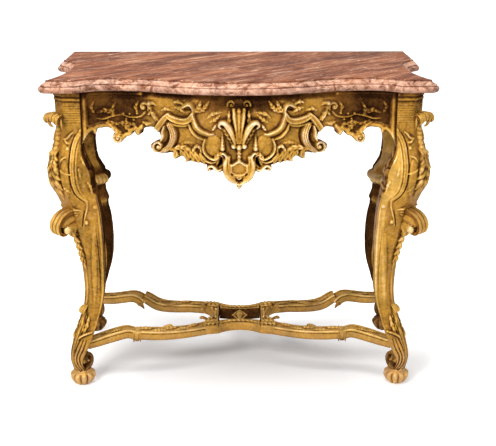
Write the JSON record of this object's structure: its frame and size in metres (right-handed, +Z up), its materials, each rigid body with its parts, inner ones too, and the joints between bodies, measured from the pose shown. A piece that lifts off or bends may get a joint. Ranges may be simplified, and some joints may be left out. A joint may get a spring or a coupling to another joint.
{
  "type": "side table",
  "caption": "Console-height side table with a serpentine marble top on a carved giltwood frame: scrolled cabriole legs, pierced cartouche apron and a shaped cross stretcher.",
  "frame": {"origin": "on the floor under the middle of the whole table's bounding box, which is also the middle of the marble top", "axes": "+X along the front to the viewer's right, +Y from the front to the wall side, +Z up"},
  "size_m": [1.1166, 0.59, 0.93],
  "materials": {
    "marble": "polished, veined",
    "giltwood": "worn water gilding over red bole",
    "bare_wood": "bare, aged"
  },
  "bodies": {
    "root": {"ankle_scroll_back_left": "giltwood", "ankle_scroll_back_right": "giltwood", "ankle_scroll_front_left": "giltwood", "ankle_scroll_front_right": "giltwood", "back_rail": "bare_wood", "c_scroll_left": "giltwood", "c_scroll_right": "giltwood", "cartouche_stem": "giltwood", "cheek_scroll_left": "giltwood", "cheek_scroll_right": "giltwood", "crest_bars_left": "giltwood", "crest_bars_right": "giltwood", "cross_bearer_left": "bare_wood", "cross_bearer_right": "bare_wood", "foot_back_left": "giltwood", "foot_back_right": "giltwood", "foot_front_left": "giltwood", "foot_front_right": "giltwood", "front_apron": "giltwood", "glue_blocks": "bare_wood", "husk_chain_back_left": "giltwood", "husk_chain_back_right": "giltwood", "husk_chain_front_left": "giltwood", "husk_chain_front_right": "giltwood", "knee_scroll_back_left": "giltwood", "knee_scroll_back_right": "giltwood", "knee_scroll_front_left": "giltwood", "knee_scroll_front_right": "giltwood", "leg_back_left": "giltwood", "leg_back_right": "giltwood", "leg_front_left": "giltwood", "leg_front_right": "giltwood", "low_scroll_left": "giltwood", "low_scroll_right": "giltwood", "marble_top": "marble", "palmette_binding": "giltwood", "palmette_flute": "giltwood", "palmette_plume_left": "giltwood", "palmette_plume_right": "giltwood", "ring_scroll_left": "giltwood", "ring_scroll_right": "giltwood", "shield": "giltwood", "shield_lip": "giltwood", "side_apron_left": "giltwood", "side_apron_right": "giltwood", "stretcher_arm_back_left": "giltwood", "stretcher_arm_back_right": "giltwood", "stretcher_arm_front_left": "giltwood", "stretcher_arm_front_right": "giltwood", "stretcher_bar_back": "giltwood", "stretcher_bar_front": "giltwood", "stretcher_dowels": "bare_wood", "stretcher_lozenge": "giltwood", "stretcher_yoke_left": "giltwood", "stretcher_yoke_right": "giltwood", "tenon_pegs": "bare_wood"}
  },
  "joints": []
}
